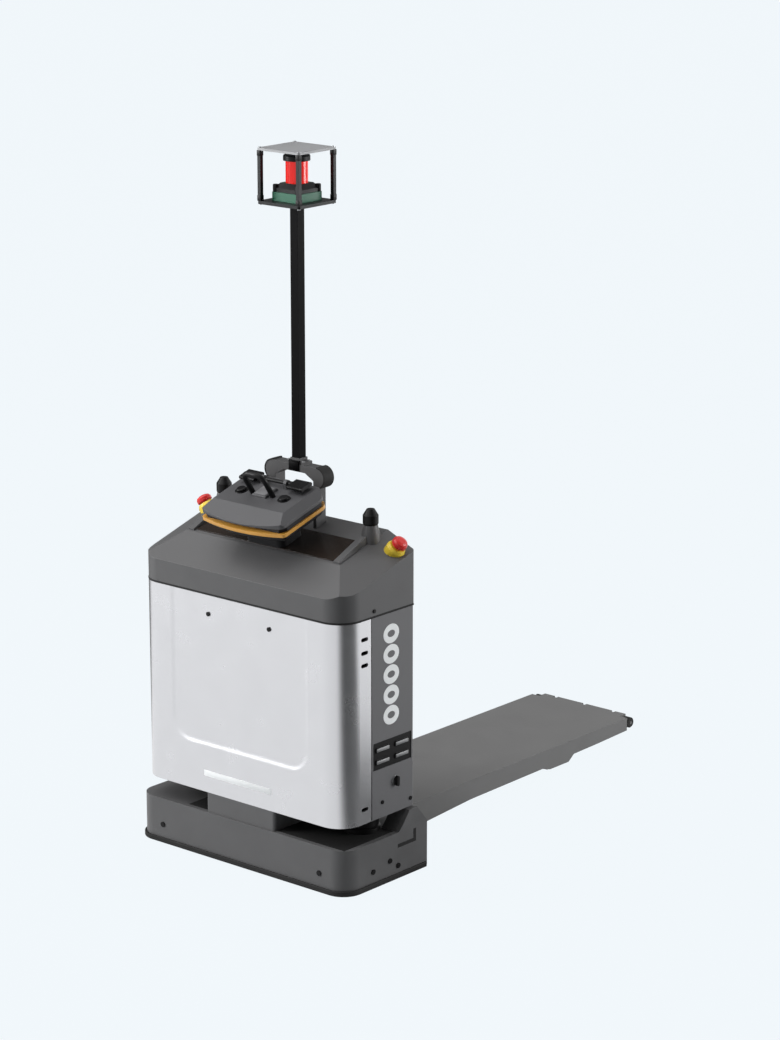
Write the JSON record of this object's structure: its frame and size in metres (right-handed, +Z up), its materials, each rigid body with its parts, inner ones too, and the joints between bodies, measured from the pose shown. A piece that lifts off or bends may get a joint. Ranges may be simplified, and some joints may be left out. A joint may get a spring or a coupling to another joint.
{
  "type": "autonomous mobile robot",
  "caption": "Low-lift deck robot: tall body on a skirted base, tilted console with operator head, sensor mast, and a long lifting deck on rocker load wheels.",
  "frame": {"origin": "on the floor under the middle of the whole machine, deck lowered", "axes": "+Z up, -Y towards the scanner front, +Y along the lift deck, +X across"},
  "size_m": [0.732, 1.468, 1.834],
  "materials": {
    "base_grey": "satin",
    "black_rubber": "matt",
    "black_steel": "satin",
    "silver_cover": "satin",
    "side_grey": "satin",
    "black_plastic": "matt",
    "chrome_metal": "polished",
    "cast_aluminium": "cast",
    "cap_grey": "satin",
    "gloss_black": "gloss",
    "head_dark": "matt",
    "amber_strip": "satin",
    "head_grey": "matt",
    "stop_yellow": "gloss",
    "stop_red": "gloss",
    "mast_black": "satin",
    "cage_grey": "anodised",
    "cage_light": "anodised",
    "screw_steel": "zinc plated",
    "lidar_green": "satin",
    "lidar_red": "clear red",
    "deck_grey": "satin",
    "nylon": "matt",
    "wheel_urethane": "matt",
    "drive_tread": "matt",
    "cast_metal": "painted"
  },
  "bodies": {
    "chassis": {"base_skirt": "base_grey", "bumper_strip": "black_rubber", "chassis_plate": "black_steel", "neck_block": "silver_cover", "body_frame": "black_steel", "front_cover": "silver_cover", "side_panel_left": "side_grey", "side_panel_right": "side_grey", "rear_cover": "side_grey", "charge_contacts": "black_plastic", "key_bezel": "chrome_metal", "battery_pack": "black_plastic", "controller_box": "black_plastic", "lift_power_unit": "cast_aluminium", "cap_shell": "cap_grey", "console_panel": "gloss_black", "head_lower": "head_dark", "light_strip": "amber_strip", "head_upper": "head_grey", "guard_hoop": "black_steel", "stop_collars": "stop_yellow", "aerials": "black_plastic", "mast_bridge": "side_grey", "mast_tube": "mast_black", "sensor_cage": "cage_grey", "cage_roof": "cage_light", "mast_screws": "screw_steel", "lidar_base": "lidar_green", "lidar_window": "lidar_red", "lidar_cap": "black_plastic", "lift_rails": "black_steel", "lift_cylinder": "black_steel", "steer_motor": "cast_aluminium", "scanners": "black_plastic", "cover_screws": "screw_steel"},
    "lift": {"lift_carriage": "deck_grey", "slide_pads": "nylon", "lift_rod": "chrome_metal", "deck_shell": "deck_grey"},
    "rocker": {"rocker_frame": "black_steel"},
    "load wheel left": {"load_wheel_left": "wheel_urethane"},
    "load wheel right": {"load_wheel_right": "wheel_urethane"},
    "push rod": {"push_rod": "screw_steel"},
    "tip roller left": {"tip_roller_left": "black_rubber"},
    "tip roller right": {"tip_roller_right": "black_rubber"},
    "steer": {"drive_yoke": "cast_metal", "drive_motor": "black_steel"},
    "drive": {"drive_wheel": "drive_tread"},
    "pinion": {"steer_pinion": "screw_steel"},
    "caster left": {"caster_fork_left": "screw_steel"},
    "caster wheel left": {"caster_wheel_left": "wheel_urethane"},
    "caster right": {"caster_fork_right": "screw_steel"},
    "caster wheel right": {"caster_wheel_right": "wheel_urethane"},
    "key": {"key_handle": "black_plastic"},
    "horn": {"horn_button": "black_plastic"},
    "lift switch": {"lift_button": "black_plastic"},
    "throttle": {"throttle_levers": "black_plastic"},
    "stop left": {"stop_button_left": "stop_red"},
    "stop right": {"stop_button_right": "stop_red"},
    "lidar": {"lidar_rotor": "black_plastic"}
  },
  "joints": [
    {"name": "deck lift", "type": "slide", "parent": "chassis", "child": "lift", "axis": [0, 0, 1], "range_m": [0, 0.08]},
    {"name": "rocker swing", "type": "hinge", "parent": "lift", "child": "rocker", "pos_m": [0, 0.247, 0.054], "axis": [-1, 0, 0], "range_deg": [0, 31.2]},
    {"name": "push rod slide", "type": "slide", "parent": "lift", "child": "push rod", "axis": [0, 1, 0], "range_m": [0, 0.0108]},
    {"name": "load wheel left spin", "type": "hinge", "parent": "rocker", "child": "load wheel left", "pos_m": [-0.095, 0.4062, 0.038], "axis": [1, 0, 0], "continuous": true},
    {"name": "load wheel right spin", "type": "hinge", "parent": "rocker", "child": "load wheel right", "pos_m": [0.095, 0.4062, 0.038], "axis": [1, 0, 0], "continuous": true},
    {"name": "tip roller left spin", "type": "hinge", "parent": "lift", "child": "tip roller left", "pos_m": [-0.158, 0.719, 0.068], "axis": [1, 0, 0], "continuous": true},
    {"name": "tip roller right spin", "type": "hinge", "parent": "lift", "child": "tip roller right", "pos_m": [0.158, 0.719, 0.068], "axis": [1, 0, 0], "continuous": true},
    {"name": "steering", "type": "hinge", "parent": "chassis", "child": "steer", "pos_m": [0, -0.606, 0.19], "axis": [0, 0, 1], "range_deg": [-90, 90]},
    {"name": "steer pinion spin", "type": "hinge", "parent": "chassis", "child": "pinion", "pos_m": [0.10515, -0.606, 0.206], "axis": [0, 0, 1], "range_deg": [-360, 360]},
    {"name": "drive wheel spin", "type": "hinge", "parent": "steer", "child": "drive", "pos_m": [0, -0.606, 0.08], "axis": [1, 0, 0], "continuous": true},
    {"name": "caster left swivel", "type": "hinge", "parent": "chassis", "child": "caster left", "pos_m": [-0.27, -0.633, 0.1], "axis": [0, 0, 1], "continuous": true},
    {"name": "caster wheel left spin", "type": "hinge", "parent": "caster left", "child": "caster wheel left", "pos_m": [-0.27, -0.665, 0.0375], "axis": [1, 0, 0], "continuous": true},
    {"name": "caster right swivel", "type": "hinge", "parent": "chassis", "child": "caster right", "pos_m": [0.27, -0.633, 0.1], "axis": [0, 0, 1], "continuous": true},
    {"name": "caster wheel right spin", "type": "hinge", "parent": "caster right", "child": "caster wheel right", "pos_m": [0.27, -0.665, 0.0375], "axis": [1, 0, 0], "continuous": true},
    {"name": "key turn", "type": "hinge", "parent": "chassis", "child": "key", "pos_m": [0.349, -0.525, 0.269], "axis": [1, 0, 0], "range_deg": [0, 90]},
    {"name": "horn press", "type": "slide", "parent": "chassis", "child": "horn", "axis": [0, 0.284, -0.9588], "range_m": [0, 0.004], "stiffness_N_per_m": 600, "springref_m": -0.003},
    {"name": "lift switch press", "type": "slide", "parent": "chassis", "child": "lift switch", "axis": [0, 0.284, -0.9588], "range_m": [0, 0.004], "stiffness_N_per_m": 600, "springref_m": -0.003},
    {"name": "throttle tilt", "type": "hinge", "parent": "chassis", "child": "throttle", "pos_m": [0, -0.58, 0.99946], "axis": [1, 0, 0], "range_deg": [-15, 15], "stiffness_Nm_per_rad": 1.5},
    {"name": "stop press left", "type": "slide", "parent": "chassis", "child": "stop left", "axis": [0.6247, 0, -0.7809], "range_m": [0, 0.005], "stiffness_N_per_m": 1500, "springref_m": -0.004},
    {"name": "stop press right", "type": "slide", "parent": "chassis", "child": "stop right", "axis": [-0.6247, 0, -0.7809], "range_m": [0, 0.005], "stiffness_N_per_m": 1500, "springref_m": -0.004},
    {"name": "lidar spin", "type": "hinge", "parent": "chassis", "child": "lidar", "pos_m": [0, -0.491, 1.76], "axis": [0, 0, 1], "continuous": true}
  ],
  "couplings": [
    {"joint": "rocker swing", "follows": "deck lift", "rad_per_m": 6.7917},
    {"joint": "push rod slide", "follows": "deck lift", "ratio": 0.13417},
    {"joint": "steer pinion spin", "follows": "steering", "ratio": -4}
  ]
}
